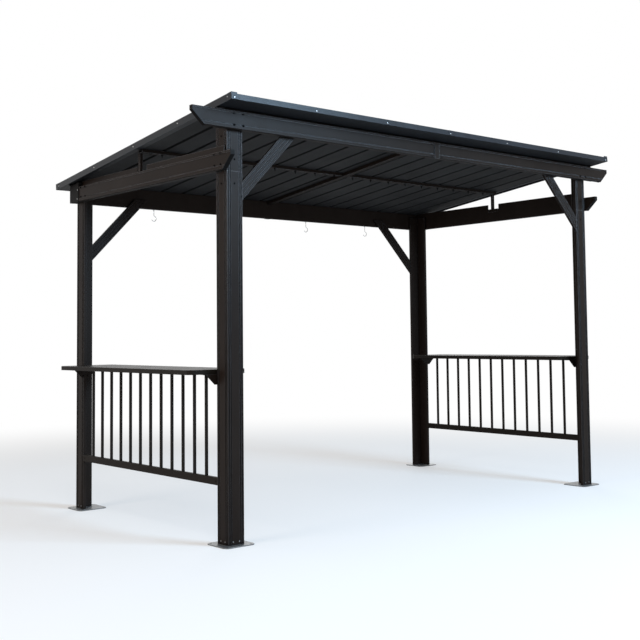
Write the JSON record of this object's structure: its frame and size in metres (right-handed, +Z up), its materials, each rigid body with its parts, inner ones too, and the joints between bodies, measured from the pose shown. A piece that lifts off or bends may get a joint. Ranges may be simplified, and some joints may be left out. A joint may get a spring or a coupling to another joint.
{
  "type": "garden gazebo",
  "caption": "Open metal gazebo with a single slope ribbed roof on four angle posts, paired beams with slanted tails, knee braces and a bar counter over a railing at each side.",
  "frame": {"origin": "on the ground midway between the four posts", "axes": "+X along the front to the right, +Y from the front to the lower rear edge of the roof, +Z up"},
  "size_m": [4.038, 2.2941, 2.6423],
  "materials": {
    "dark_frame": "dark bronze powder coat, satin with a fine texture",
    "roof_panel": "dark grey coil-coated sheet, semi gloss",
    "roof_trim": "dark grey folded sheet, semi gloss",
    "counter_top": "dark bronze powder coat, semi gloss",
    "galvanised_steel": "galvanised",
    "bright_steel": "zinc plated, bright"
  },
  "bodies": {
    "root": {"base_plates": "galvanised_steel", "beam_end_caps": "dark_frame", "counter_brackets": "dark_frame", "front_header_left": "dark_frame", "front_header_rail": "dark_frame", "front_header_right": "dark_frame", "front_left_brace": "dark_frame", "front_left_post": "dark_frame", "front_left_post_extension": "dark_frame", "front_right_brace": "dark_frame", "front_right_post": "dark_frame", "front_right_post_extension": "dark_frame", "front_trim_left": "roof_trim", "front_trim_right": "roof_trim", "header_splices": "dark_frame", "left_counter": "counter_top", "left_hooks": "bright_steel", "left_king_post": "dark_frame", "left_railing": "dark_frame", "left_rake_trim": "roof_trim", "left_side_beam": "dark_frame", "left_side_rail": "dark_frame", "middle_purlin_left": "dark_frame", "middle_purlin_right": "dark_frame", "middle_rafter": "dark_frame", "rear_header_left": "dark_frame", "rear_header_rail": "dark_frame", "rear_header_right": "dark_frame", "rear_left_brace": "dark_frame", "rear_left_post": "dark_frame", "rear_right_brace": "dark_frame", "rear_right_post": "dark_frame", "rear_trim_left": "roof_trim", "rear_trim_right": "roof_trim", "right_counter": "counter_top", "right_hooks": "bright_steel", "right_king_post": "dark_frame", "right_railing": "dark_frame", "right_rake_trim": "roof_trim", "right_side_beam": "dark_frame", "right_side_rail": "dark_frame", "roof_panels_left": "roof_panel", "roof_panels_right": "roof_panel", "roof_trim_covers": "roof_trim"}
  },
  "joints": []
}
